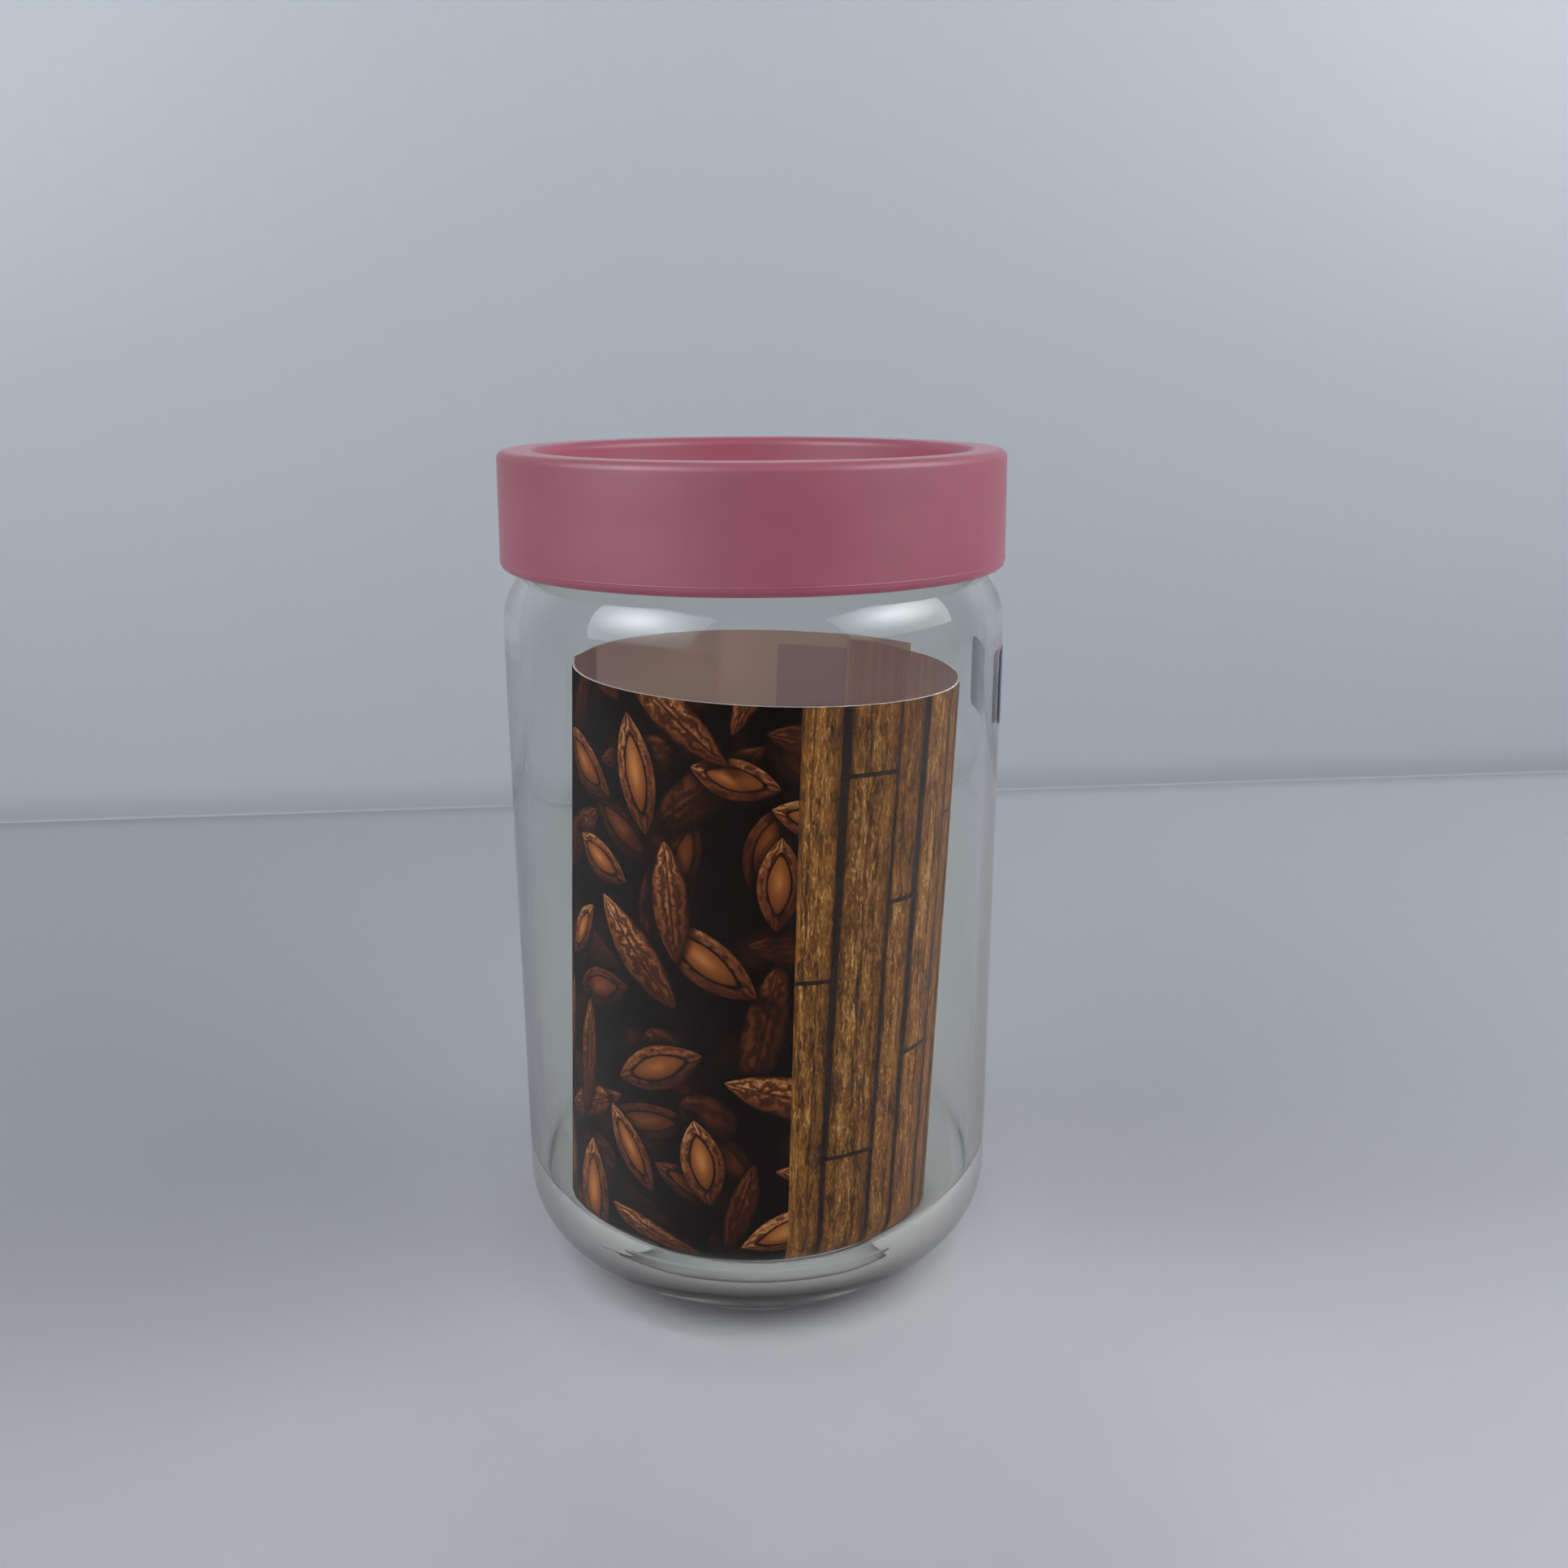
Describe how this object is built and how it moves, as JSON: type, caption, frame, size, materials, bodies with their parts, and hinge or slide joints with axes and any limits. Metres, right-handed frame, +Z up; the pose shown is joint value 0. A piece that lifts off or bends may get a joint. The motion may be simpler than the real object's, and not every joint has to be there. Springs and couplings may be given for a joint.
{
  "type": "storage jar",
  "caption": "Clear glass storage jar with a push-in stacking lid, a seal ring and a loose printed card sleeve standing inside; it keeps dry food under the lid.",
  "frame": {"origin": "on the jar's axis, on the plane that the foot ring stands on", "axes": "+Z up along the jar's axis; -Y towards the sleeve's front; +X to the right, where the side label is"},
  "size_m": [0.0923, 0.0922, 0.1582],
  "materials": {
    "clear_glass": "clear, polished, faint green-grey tint in the thick base",
    "pink_plastic": "dusty rose moulded polypropylene, satin",
    "seal": "milky translucent silicone, matt",
    "printed_card": "coated card, printed outside in dark brown and tan, bare brown-grey inside",
    "dark_label": "blank dark violet paper label, satin"
  },
  "bodies": {
    "jar": {"glass_jar": "clear_glass", "side_label": "dark_label"},
    "lid": {"lid": "pink_plastic", "seal_ring": "seal"},
    "sleeve": {"card_sleeve": "printed_card"}
  },
  "joints": [
    {"name": "lid_lift", "type": "slide", "parent": "jar", "child": "lid", "axis": [0, 0, 1], "range_m": [0, 0.05]},
    {"name": "sleeve_lift", "type": "slide", "parent": "jar", "child": "sleeve", "axis": [0, 0, 1], "range_m": [0, 0.015]}
  ]
}
